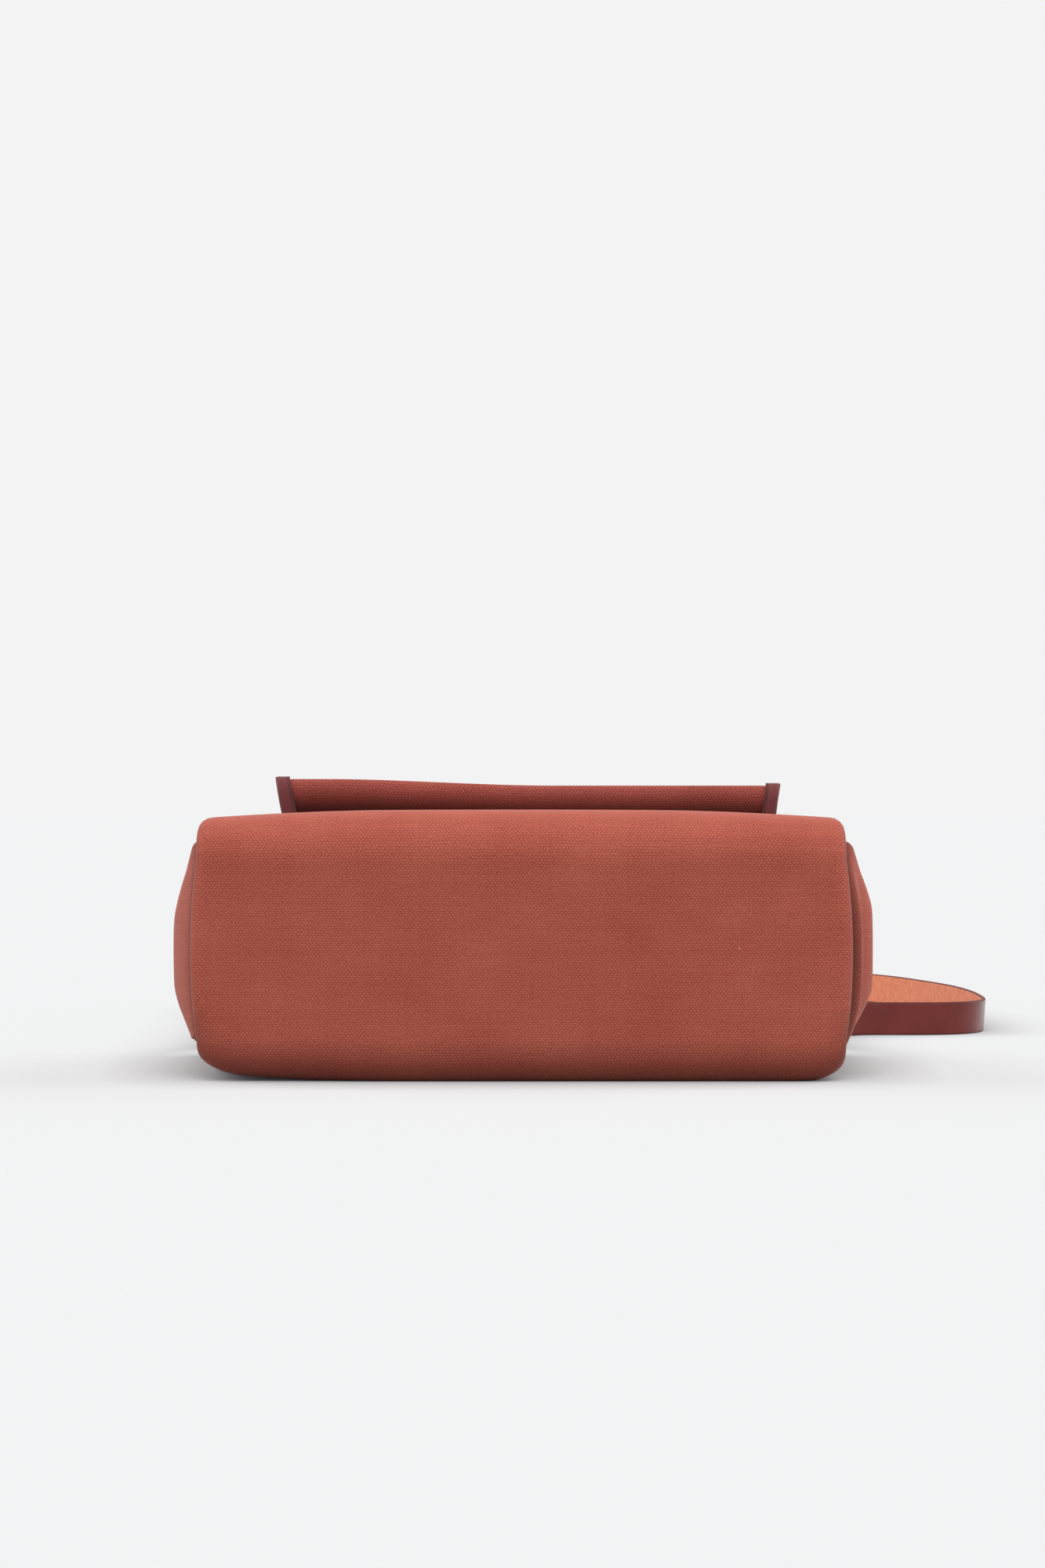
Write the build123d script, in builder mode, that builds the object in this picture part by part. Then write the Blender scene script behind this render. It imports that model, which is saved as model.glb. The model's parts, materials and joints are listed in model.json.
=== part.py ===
from build123d import *
from math import asin, atan2, cos, degrees, hypot, radians, sin
import os

# A canvas case for brushes, lying on its back panel with the mouth open towards +Y.
# Millimetres, +Z up. The origin is on the resting face, at the middle of the back panel.

# --------------------------------------------------------------------------- canvas case
case_width = 272.0  # seam to seam
case_height = 165.0  # bottom face to mouth
case_depth = 108.0  # thickness at the bottom end
mouth_depth = 45.0  # thickness at the mouth
corner_radius = 17.0  # the wrap panel rolls round the bottom end
wall = 2.0  # canvas with its interlining
gusset_bulge = 9.5  # each gusset swells this far past its seam
gusset_round = 9.0  # the gusset rolls over to its seam
overrun = 30.0  # tools run on past the mouth by this much before it is cut

# --------------------------------------------------------------------------- inside
tape_width = 8.0  # bound seam allowance
tape_gauge = 2.4
tape_edge = 0.6  # bevel along the folded edge of every tape
facing_width = 25.0  # turned-in strip behind the lip of the front panel
facing_gauge = 1.2
sleeve_width = 236.0  # flat slotted sleeve sewn to the back panel
sleeve_length = 98.0
sleeve_gauge = 1.6
sleeve_inset = 46.0  # from the mouth back to the sleeve's bound edge
slot_count = 10
stitch_width = 0.8
stitch_sink = 0.5
sleeve_tape_width = 7.0
sleeve_tape_gauge = 2.4

# --------------------------------------------------------------------------- flap
flap_shift = 3.0  # the flap is sewn a little off centre
flap_half = 98.0  # half width of the canvas between its bindings
flap_flare = 10.0  # each side curves out this far at the free edge
flare_run = 40.0  # over this length
cover_length = 77.5  # crease to folded free edge
cover_gauge = 4.0  # two layers of canvas with a soft fold
spine_gauge = 3.0
binding_width = 7.5
binding_gauge = 4.4
binding_proud = 0.9  # the cut ends stand past the fold
spine_lean = 12.0  # degrees back from upright, as it lies
cover_lean = 10.0  # degrees forward from upright, as it lies
crease_gap = 0.4  # running clearance at both creases
table_gap = 0.2  # the spine's bindings stay this clear of the resting face
fold_flat = 0.4  # the folded free edge is this flat between its two rounds

# --------------------------------------------------------------------------- press stud
snap_reach = 44.0  # from the crease to the stud
socket_radius = 6.2
socket_height = 1.8
socket_bore = 2.6
stud_flange = 5.2
stud_radius = 2.1
stud_height = 1.4
stud_plate = 0.6
cap_radius = 6.5
cap_height = 1.2
cap_edge = 0.5
socket_washer_gauge = 0.8
snap_clearance = 0.4

# --------------------------------------------------------------------------- strap and its posts
strap_width = 16.0
strap_gauge = 2.0
pivot_inset = 15.5  # from the mouth back to the post
pivot_height = 23.0
patch_radius = 10.0
patch_gauge = 1.2
patch_edge = 0.4
strap_play = 0.2  # on each face of the strap end
post_radius = 2.2
post_head = 5.0
post_head_height = 1.2
head_edge = 0.4
driver_slot_width = 0.8
driver_slot_sink = 0.5
post_washer_radius = 5.5
post_washer_gauge = 1.0
pin_clearance = 0.3
strap_landing = 75.0  # the strap comes down to the surface over this length
near_run_y = 219.5
join_y = 568.0  # the two strap halves overlap here
join_right = 60.0
join_left = -30.0
adjust_pitch = 14.0
adjust_count = 6
adjust_first = -1.5  # the first hole lies this many pitches from the middle of the overlap
adjust_bore = 2.2
stud_post_radius = 1.9
stud_post_head = 4.2
stud_post_head_height = 1.6

# --------------------------------------------------------------------------- derived places
half_width = case_width / 2
bottom_y = -case_height / 2
mouth_y = case_height / 2
toe_y = bottom_y + corner_radius
toe_z = case_depth - corner_radius
toe_reach = hypot(mouth_y - toe_y, toe_z - mouth_depth)
slope = degrees(atan2(toe_z - mouth_depth, mouth_y - toe_y) + asin(corner_radius / toe_reach))
rise = sin(radians(slope))
run = cos(radians(slope))

hinge_radius = binding_gauge / 2
crease_start = hinge_radius + crease_gap
spine_y = mouth_y + crease_start
spine_z = hinge_radius + table_gap
closed_gap = socket_height + stud_plate + stud_height + snap_clearance
cover_offset = closed_gap + cover_gauge / 2
closed_z = mouth_depth + (cover_offset - crease_start * rise) / run
spine_length = closed_z - spine_z
crease_y = spine_y + spine_length * sin(radians(spine_lean))
crease_z = spine_z + spine_length * cos(radians(spine_lean))
socket_back = snap_reach - crease_start * run + (closed_z - mouth_depth) * rise

pivot_y = mouth_y - pivot_inset
gusset_face = half_width + gusset_bulge
strap_x = gusset_face + patch_gauge + strap_play + strap_gauge / 2
landing_y = pivot_y + strap_landing

wall_cut = 2 * wall  # a bore this deep passes any one wall

mouth_cut = Plane.XZ.offset(-mouth_y)
front_plane = Plane(origin=(0, mouth_y, mouth_depth), x_dir=(1, 0, 0), z_dir=(0, rise, run))
spine_plane = Plane(
    origin=(flap_shift, spine_y, spine_z),
    x_dir=(1, 0, 0),
    z_dir=(0, -cos(radians(spine_lean)), sin(radians(spine_lean))),
)
cover_plane = Plane(
    origin=(flap_shift, crease_y, crease_z),
    x_dir=(1, 0, 0),
    z_dir=(0, -cos(radians(cover_lean)), -sin(radians(cover_lean))),
)

os.makedirs("parts", exist_ok=True)


def finish(piece, name):
    """Label a piece and write it under its own name."""
    piece.part.label = name
    export_step(piece.part, f"parts/{name}.step")


def finish_pair(piece, name):
    """Write a right-hand piece and its mirror image on the left."""
    finish(piece, name + "_right")
    with BuildPart() as twin:
        mirror(piece.part, about=Plane.YZ)
    finish(twin, name + "_left")


def wedge_outline(inset):
    """Y-Z outline of the case, moved inwards by inset and run on past the mouth."""
    corner = corner_radius - inset
    end_y = mouth_y + overrun
    end_z = mouth_depth - overrun * rise / run - inset / run
    with BuildSketch() as outline:
        with BuildLine():
            Line((end_y, inset), (toe_y, inset))
            CenterArc((toe_y, corner_radius), corner, 270, -90)
            Line((bottom_y + inset, corner_radius), (bottom_y + inset, toe_z))
            roll = CenterArc((toe_y, toe_z), corner, 180, -90 - slope)
            Line(roll @ 1, (end_y, end_z))
            Line((end_y, end_z), (end_y, inset))
        make_face()
    return outline.sketch


def case_form(inset):
    """The swollen wedge that the wrap and both gussets make together, moved inwards by inset."""
    with BuildPart() as form:
        with BuildSketch(Plane.YZ):
            add(wedge_outline(inset))
        extrude(amount=gusset_face - inset, both=True)
        fillet(form.faces().filter_by(Axis.X).edges(), radius=gusset_round - inset)
    return form.part


# ---- wrap panel: one piece of canvas runs down the front, round the bottom and up the back
outer_form = case_form(0)
inner_form = case_form(wall)

with BuildPart() as body_panel:
    add(outer_form)
    add(inner_form, mode=Mode.SUBTRACT)
    split(bisect_by=mouth_cut, keep=Keep.TOP)
    split(bisect_by=Plane.YZ.offset(half_width), keep=Keep.BOTTOM)
    split(bisect_by=Plane.YZ.offset(-half_width), keep=Keep.TOP)
    with BuildSketch(front_plane):
        with Locations((0, -socket_back)):
            Circle(socket_bore)
    extrude(amount=-wall_cut, mode=Mode.SUBTRACT)
finish(body_panel, "body_panel")

# ---- gussets: the two swollen side panels, each rolled over to its seam with the wrap
with BuildPart() as gusset:
    add(outer_form)
    add(inner_form, mode=Mode.SUBTRACT)
    split(bisect_by=mouth_cut, keep=Keep.TOP)
    split(bisect_by=Plane.YZ.offset(half_width), keep=Keep.TOP)
    with BuildSketch(Plane.YZ.offset(gusset_face)):
        with Locations((pivot_y, pivot_height)):
            Circle(post_radius)
    extrude(amount=-wall_cut, mode=Mode.SUBTRACT)
finish_pair(gusset, "gusset")

# ---- seam tape: the seam allowance stands inside the case, folded into twill tape
with BuildPart() as seam_tape:
    with BuildSketch(Plane.YZ.offset(half_width)):
        add(wedge_outline(wall))
        add(wedge_outline(wall + tape_width), mode=Mode.SUBTRACT)
    extrude(amount=-tape_gauge)
    split(bisect_by=mouth_cut, keep=Keep.TOP)
    chamfer(seam_tape.faces().filter_by(Plane.XY).sort_by(Axis.Z)[1].edges().filter_by(Axis.Y), tape_edge)
finish_pair(seam_tape, "seam_tape")

# ---- mouth facing: a strip turned in behind the lip of the front panel
with BuildPart() as mouth_facing:
    with BuildSketch(front_plane.offset(-wall)):
        with Locations((0, -facing_width / 2 - wall * rise / run)):
            Rectangle(case_width - 2 * tape_gauge, facing_width)
    extrude(amount=-facing_gauge)
    split(bisect_by=mouth_cut, keep=Keep.TOP)
finish(mouth_facing, "mouth_facing")

# ---- brush sleeve: flat on the inside of the back panel, stitched into slots that lie empty
sleeve_mouth = mouth_y - sleeve_inset
slot_pitch = sleeve_width / slot_count
with BuildPart() as brush_sleeve:
    with BuildSketch(Plane.XY.offset(wall)):
        with Locations((0, sleeve_mouth - sleeve_length / 2)):
            Rectangle(sleeve_width, sleeve_length)
    extrude(amount=sleeve_gauge)
    with BuildSketch(Plane.XY.offset(wall + sleeve_gauge)):
        with Locations((0, sleeve_mouth - sleeve_length / 2)):
            with GridLocations(slot_pitch, 1, slot_count - 1, 1):
                Rectangle(stitch_width, sleeve_length)
    extrude(amount=-stitch_sink, mode=Mode.SUBTRACT)
finish(brush_sleeve, "brush_sleeve")

with BuildPart() as sleeve_tape:
    with BuildSketch(Plane.XY.offset(wall)):
        with Locations((0, sleeve_mouth + sleeve_tape_width / 2)):
            Rectangle(sleeve_width, sleeve_tape_width)
    extrude(amount=sleeve_tape_gauge)
    chamfer(sleeve_tape.faces().sort_by(Axis.Z)[-1].edges().filter_by(Axis.X), tape_edge)
finish(sleeve_tape, "sleeve_tape")

# ---- press stud, socket half: a rimmed ring on the front panel, riveted through to a washer
snap_axis = Axis(front_plane.origin, front_plane.z_dir)
with BuildPart() as snap_socket:
    with BuildSketch(front_plane):
        with Locations((0, -socket_back)):
            Circle(socket_radius)
    extrude(amount=socket_height)
    chamfer(snap_socket.faces().sort_by(snap_axis)[-1].edges(), cap_edge)
    with BuildSketch(front_plane):
        with Locations((0, -socket_back)):
            Circle(socket_bore)
    extrude(amount=-wall)
    with BuildSketch(front_plane.offset(socket_height)):
        with Locations((0, -socket_back)):
            Circle(stud_radius + pin_clearance)
    extrude(amount=-socket_height, mode=Mode.SUBTRACT)
finish(snap_socket, "snap_socket")

with BuildPart() as snap_washer:
    with BuildSketch(front_plane.offset(-wall)):
        with Locations((0, -socket_back)):
            Circle(socket_radius)
    extrude(amount=-socket_washer_gauge)
finish(snap_washer, "snap_washer")

# ---- strap patch: a round of leather on each gusset that the strap post is set through
with BuildPart() as strap_patch:
    with BuildSketch(Plane.YZ.offset(gusset_face)):
        with Locations((pivot_y, pivot_height)):
            Circle(patch_radius)
            Circle(post_radius, mode=Mode.SUBTRACT)
    extrude(amount=patch_gauge)
    chamfer(strap_patch.faces().sort_by(Axis.X)[-1].edges().sort_by(SortBy.LENGTH)[-1], patch_edge)
finish_pair(strap_patch, "strap_patch")

# ---- strap post: a screw post through gusset, patch and strap, with a washer inside
post_shoulder = gusset_face + patch_gauge + 2 * strap_play + strap_gauge
post_inner = gusset_face - wall - post_washer_gauge
with BuildPart() as strap_post:
    with BuildSketch(Plane.YZ.offset(post_inner)):
        with Locations((pivot_y, pivot_height)):
            Circle(post_radius)
    extrude(amount=post_shoulder - post_inner)
    with BuildSketch(Plane.YZ.offset(post_shoulder)):
        with Locations((pivot_y, pivot_height)):
            Circle(post_head)
    extrude(amount=post_head_height)
    chamfer(strap_post.faces().sort_by(Axis.X)[-1].edges(), head_edge)
    with BuildSketch(Plane.YZ.offset(post_shoulder + post_head_height)):
        with Locations((pivot_y, pivot_height)):
            Rectangle(2 * post_head, driver_slot_width)
    extrude(amount=-driver_slot_sink, mode=Mode.SUBTRACT)
finish_pair(strap_post, "strap_post")

with BuildPart() as post_washer:
    with BuildSketch(Plane.YZ.offset(gusset_face - wall)):
        with Locations((pivot_y, pivot_height)):
            Circle(post_washer_radius)
            Circle(post_radius, mode=Mode.SUBTRACT)
    extrude(amount=-post_washer_gauge)
finish_pair(post_washer, "post_washer")

# ---- flap spine: crosses the mouth from the back panel's edge up to the cover's crease
with BuildPart() as flap_spine:
    with BuildSketch(spine_plane.offset(-spine_gauge / 2)):
        with Locations((0, spine_length / 2)):
            Rectangle(2 * flap_half, spine_length)
    extrude(amount=spine_gauge)
    with BuildSketch(Plane.YZ.offset(flap_shift)):
        with Locations((spine_y, spine_z), (crease_y, crease_z)):
            Circle(spine_gauge / 2)
    extrude(amount=flap_half, both=True)
finish(flap_spine, "flap_spine")

for side, name in ((1, "spine_binding_right"), (-1, "spine_binding_left")):
    with BuildPart() as spine_binding:
        with BuildSketch(spine_plane.offset(-binding_gauge / 2)):
            with Locations((side * (flap_half + binding_width / 2), spine_length / 2)):
                Rectangle(binding_width, spine_length)
        extrude(amount=binding_gauge)
        with BuildSketch(Plane.YZ.offset(flap_shift + side * (flap_half + binding_width / 2))):
            with Locations((spine_y, spine_z), (crease_y, crease_z)):
                Circle(hinge_radius)
        extrude(amount=binding_width / 2, both=True)
    finish(spine_binding, name)


def flared_side(half, side, top):
    """One side of the cover: straight up from the crease, then curving out to the free edge."""
    straight = Line((side * half, crease_start), (side * half, cover_length - flare_run))
    curve = TangentArc(straight @ 1, (side * (half + flap_flare), top), tangent=(0, 1))
    return curve @ 1


# ---- flap cover: doubled canvas, folded at its free edge and bent off the spine at its crease
with BuildPart() as flap_cover:
    with BuildSketch(cover_plane.offset(-cover_gauge / 2)):
        with BuildLine():
            right = flared_side(flap_half, 1, cover_length)
            left = flared_side(flap_half, -1, cover_length)
            Line(right, left)
            Line((-flap_half, crease_start), (flap_half, crease_start))
        make_face()
    extrude(amount=cover_gauge)
    free_edge = Axis(cover_plane.origin, cover_plane.y_dir)
    fold = flap_cover.faces().sort_by(free_edge)[-1].edges().filter_by(Axis.X)
    fillet(fold, radius=(cover_gauge - fold_flat) / 2)
finish(flap_cover, "flap_cover")

for side, name in ((1, "flap_binding_right"), (-1, "flap_binding_left")):
    with BuildPart() as flap_binding:
        with BuildSketch(cover_plane.offset(-binding_gauge / 2)):
            with BuildLine():
                inner = flared_side(flap_half, side, cover_length)
                outer = flared_side(flap_half + binding_width, side, cover_length)
                Line(inner, outer)
                Line((side * flap_half, crease_start), (side * (flap_half + binding_width), crease_start))
            make_face()
        extrude(amount=binding_gauge)
        extrude(flap_binding.faces().sort_by(free_edge)[-1], amount=binding_proud)
    finish(flap_binding, name)

# ---- press stud, stud half: a flanged nose on the cover's inner face, capped on the outside
through_cover = Axis(cover_plane.origin, cover_plane.z_dir)
with BuildPart() as snap_stud:
    with BuildSketch(cover_plane.offset(cover_gauge / 2)):
        with Locations((-flap_shift, snap_reach)):
            Circle(stud_flange)
    extrude(amount=stud_plate)
    with BuildSketch(cover_plane.offset(cover_gauge / 2 + stud_plate)):
        with Locations((-flap_shift, snap_reach)):
            Circle(stud_radius)
    extrude(amount=stud_height)
    chamfer(snap_stud.faces().sort_by(through_cover)[-1].edges(), cap_edge)
finish(snap_stud, "snap_stud")

with BuildPart() as snap_cap:
    with BuildSketch(cover_plane.offset(-cover_gauge / 2)):
        with Locations((-flap_shift, snap_reach)):
            Circle(cap_radius)
    extrude(amount=-cap_height)
    chamfer(snap_cap.faces().sort_by(through_cover)[0].edges(), cap_edge)
finish(snap_cap, "snap_cap")


def strap_end(side):
    """Sketch of a strap end, seen along X: round at its post, sloping down to the surface."""
    fall = atan2(pivot_height - strap_width / 2, strap_landing)
    out_y = strap_width / 2 * sin(fall)
    out_z = strap_width / 2 * cos(fall)
    with BuildSketch(Plane.YZ.offset(side * strap_x - strap_gauge / 2)) as end:
        with BuildLine():
            Polyline(
                (pivot_y + out_y, pivot_height + out_z),
                (landing_y, strap_width),
                (landing_y, 0),
                (pivot_y - out_y, pivot_height - out_z),
                close=True,
            )
        make_face()
        with Locations((pivot_y, pivot_height)):
            Circle(strap_width / 2)
            Circle(post_radius + pin_clearance, mode=Mode.SUBTRACT)
    return end.sketch


def strap_run(points, radii):
    """A strap standing on edge along a route in plan."""
    with BuildPart() as strip:
        with BuildLine(Plane.XY.offset(strap_width / 2)) as route:
            FilletPolyline(*points, radius=radii)
        start = Plane(origin=route.line @ 0, x_dir=(0, 0, 1), z_dir=route.line % 0)
        with BuildSketch(start):
            Rectangle(strap_width, strap_gauge)
        sweep(path=route.line)
    return strip.part, route.wires()[0].length


# ---- strap: two leather halves, standing on edge, that overlap behind the case. Each lies slack,
# so its route in plan is chosen by hand, and starts under its own post.
short_points = [
    (strap_x, landing_y),
    (strap_x, near_run_y),
    (233.5, near_run_y),
    (236.5, near_run_y + 125.5),
    (200.5, join_y - 66.0),
    (112.0, join_y),
    (join_left, join_y),
]
short_radii = [26.0, 30.0, 150.0, 70.0, 110.0]
short_run, short_length = strap_run(short_points, short_radii)
with BuildPart() as strap_short:
    add(short_run)
    extrude(strap_end(1), amount=strap_gauge)
    with BuildSketch(Plane.XZ.offset(-join_y)):
        with Locations((adjust_pitch / 2, strap_width / 2), (-adjust_pitch / 2, strap_width / 2)):
            Circle(stud_post_radius)
    extrude(amount=2 * strap_gauge, both=True, mode=Mode.SUBTRACT)
finish(strap_short, "strap_short")

long_points = [
    (-strap_x, landing_y),
    (-strap_x, join_y - 268.0),
    (-158.0, join_y - 148.0),
    (-128.0, join_y - 52.0),
    (-66.0, join_y + strap_gauge),
    (join_right, join_y + strap_gauge),
]
long_radii = [400.0, 200.0, 90.0, 110.0]
long_run, long_length = strap_run(long_points, long_radii)
with BuildPart() as strap_long:
    add(long_run)
    extrude(strap_end(-1), amount=strap_gauge)
    with BuildSketch(Plane.XZ.offset(-join_y)):
        for step in range(adjust_count):
            with Locations(((step + adjust_first) * adjust_pitch, strap_width / 2)):
                Circle(adjust_bore)
    extrude(amount=-3 * strap_gauge, mode=Mode.SUBTRACT)
finish(strap_long, "strap_long")

# ---- strap studs: two screw posts hold the overlap
for step, name in ((-0.5, "strap_stud_left"), (0.5, "strap_stud_right")):
    inner_y = join_y - strap_gauge / 2
    outer_y = join_y + 1.5 * strap_gauge
    with BuildPart() as strap_stud:
        with BuildSketch(Plane.XZ.offset(-inner_y)):
            with Locations((step * adjust_pitch, strap_width / 2)):
                Circle(stud_post_radius)
        extrude(amount=inner_y - outer_y)
        with BuildSketch(Plane.XZ.offset(-inner_y), Plane.XZ.offset(-outer_y - stud_post_head_height)):
            with Locations((step * adjust_pitch, strap_width / 2)):
                Circle(stud_post_head)
        extrude(amount=stud_post_head_height)
    finish(strap_stud, name)

print(f"slope {slope:.2f} spine length {spine_length:.2f} crease at y {crease_y:.2f} z {crease_z:.2f}")
print(f"strap length {short_length + long_length + 2 * strap_landing - join_right + join_left:.0f}")
closing = 90 - slope - spine_lean - cover_lean
print(f"cover closes by {closing:.1f} degrees, opens by {spine_lean + cover_lean:.1f}")
print(f"pivots: post y {pivot_y:.2f} z {pivot_height:.2f}, spine y {spine_y:.2f} z {spine_z:.2f}")
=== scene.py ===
"""A canvas brush case, lying on its back with its flap open and its strap behind it."""
import json

import bmesh
import bpy
import numpy as np
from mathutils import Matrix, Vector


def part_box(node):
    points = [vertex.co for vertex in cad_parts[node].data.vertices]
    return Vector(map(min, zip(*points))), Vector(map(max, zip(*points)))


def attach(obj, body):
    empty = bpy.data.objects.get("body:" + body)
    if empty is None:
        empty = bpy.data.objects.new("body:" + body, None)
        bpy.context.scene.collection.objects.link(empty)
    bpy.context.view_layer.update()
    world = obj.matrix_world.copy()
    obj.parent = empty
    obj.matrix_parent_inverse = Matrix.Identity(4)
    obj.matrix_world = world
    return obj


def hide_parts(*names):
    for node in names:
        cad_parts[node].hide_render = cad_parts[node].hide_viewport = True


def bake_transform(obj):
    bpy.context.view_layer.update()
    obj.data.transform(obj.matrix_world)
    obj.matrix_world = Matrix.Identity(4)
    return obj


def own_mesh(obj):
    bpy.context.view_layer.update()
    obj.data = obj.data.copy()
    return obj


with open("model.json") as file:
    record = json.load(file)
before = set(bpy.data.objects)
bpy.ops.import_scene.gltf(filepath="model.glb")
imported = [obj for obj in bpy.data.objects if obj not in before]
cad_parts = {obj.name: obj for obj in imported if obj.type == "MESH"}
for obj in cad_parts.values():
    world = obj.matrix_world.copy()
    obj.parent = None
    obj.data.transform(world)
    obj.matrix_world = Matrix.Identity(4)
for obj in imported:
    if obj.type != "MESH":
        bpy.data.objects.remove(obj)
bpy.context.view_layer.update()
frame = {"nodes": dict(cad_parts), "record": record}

# ------------------------------------------------------------------ camera
# A long lens, level with the table and a little higher than the case, looking straight at its
# bottom face.
MM = 0.001
case_low, case_high = (np.array(corner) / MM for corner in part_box("body_panel"))
eye_distance = 1600.0
eye_height = 123.1
camera = bpy.data.objects.new("camera", bpy.data.cameras.new("camera"))
camera.data.sensor_width = 36.0
camera.data.lens = 89.0
camera.location = (0.0, (case_low[1] - eye_distance) * MM, eye_height * MM)
camera.rotation_euler = (np.pi / 2, 0.0, 0.0)
bpy.context.scene.collection.objects.link(camera)
bpy.context.scene.camera = camera

# ------------------------------------------------------------------ canvas
# Plain-weave cotton canvas, dyed brick red. The weft threads are a little thicker than the
# warp. The threads' crowns are painted paler and the hollows darker, a painted highlight and
# shade of the weave. All cloth carries a "cloth" UV map in metres.


class Tone:
    """A number or colour that varies over a surface.

    Operators on it add Math nodes to its shade, which work the sum out at every point.
    """

    def __init__(self, shade, socket):
        self.shade = shade
        self.socket = socket

    def math(self, operation, *others):
        """One Math node, with this tone as its first input."""
        inputs = dict(enumerate((self,) + others))
        return self.shade.node("ShaderNodeMath", {"operation": operation}, inputs)

    def __add__(self, other):
        return self.math("ADD", other)

    def __sub__(self, other):
        return self.math("SUBTRACT", other)

    def __mul__(self, other):
        return self.math("MULTIPLY", other)

    def __truediv__(self, other):
        return self.math("DIVIDE", other)

    def __rsub__(self, other):
        return (self * -1.0) + other

    def within(self, low, high):
        """0 below low, 1 above high, smooth between."""
        settings = {"interpolation_type": "SMOOTHSTEP"}
        inputs = {"Value": self, "From Min": low, "From Max": high}
        return self.shade.node("ShaderNodeMapRange", settings, inputs)


class Shade:
    """The nodes of one material, ending in its Principled surface.

    Inputs that don't vary are given by name, with _ for a space.
    """

    def __init__(self, name, **constants):
        self.material = bpy.data.materials.new(name)
        self.material.use_nodes = True
        self.tree = self.material.node_tree
        self.surface = self.tree.nodes["Principled BSDF"]
        for socket, value in constants.items():
            self.surface.inputs[socket.replace("_", " ")].default_value = value

    def node(self, kind, settings=None, inputs=None, output=0):
        """A new node, its inputs linked where they vary and set where they don't."""
        node = self.tree.nodes.new(kind)
        for key, value in (settings or {}).items():
            setattr(node, key, value)
        for key, value in (inputs or {}).items():
            if isinstance(value, Tone):
                self.tree.links.new(value.socket, node.inputs[key])
            else:
                node.inputs[key].default_value = value
        return Tone(self, node.outputs[output])

    def feed(self, socket, tone):
        """The surface takes this input from a tone."""
        self.tree.links.new(tone.socket, self.surface.inputs[socket])

    def cloth_uv(self):
        """The cloth's own two directions, in millimetres."""
        uv = self.node("ShaderNodeUVMap", {"uv_map": "cloth"})
        grown = self.node("ShaderNodeVectorMath", {"operation": "SCALE"}, {0: uv, "Scale": 1 / MM})
        across = self.node("ShaderNodeSeparateXYZ", None, {0: grown}, 0)
        along = self.node("ShaderNodeSeparateXYZ", None, {0: grown}, 1)
        return grown, across, along

    def noise(self, where, scale, detail=2.0):
        """Smooth noise about 0.5, with scale lumps to a unit of where."""
        inputs = {"Vector": where, "Scale": scale, "Detail": detail}
        return self.node("ShaderNodeTexNoise", None, inputs)

    def squeezed(self, where, across, along):
        """A place with its two directions scaled apart, for streaks."""
        inputs = {0: where, 1: (across, along, 1.0)}
        return self.node("ShaderNodeVectorMath", {"operation": "MULTIPLY"}, inputs)

    def mix(self, factor, first, second):
        """The first colour at factor 0, the second at 1."""
        inputs = {"Factor": factor, 6: first, 7: second}
        settings = {"data_type": "RGBA", "clamp_factor": True}
        return self.node("ShaderNodeMix", settings, inputs, 2)

    def bump(self, height, depth, strength):
        """Fine relief: height from 0 to 1 stands for depth in metres."""
        inputs = {"Height": height, "Distance": depth, "Strength": strength}
        self.feed("Normal", self.node("ShaderNodeBump", None, inputs))


def dye(red, green, blue):
    """A display colour, 0 to 255, as linear light."""
    values = np.array([red, green, blue]) / 255.0
    linear = np.where(values <= 0.04045, values / 12.92, ((values + 0.055) / 1.055) ** 2.4)
    return (*linear.tolist(), 1.0)


warp_pitch = 0.76  # mm from thread to thread
weft_pitch = 1.015


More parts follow.
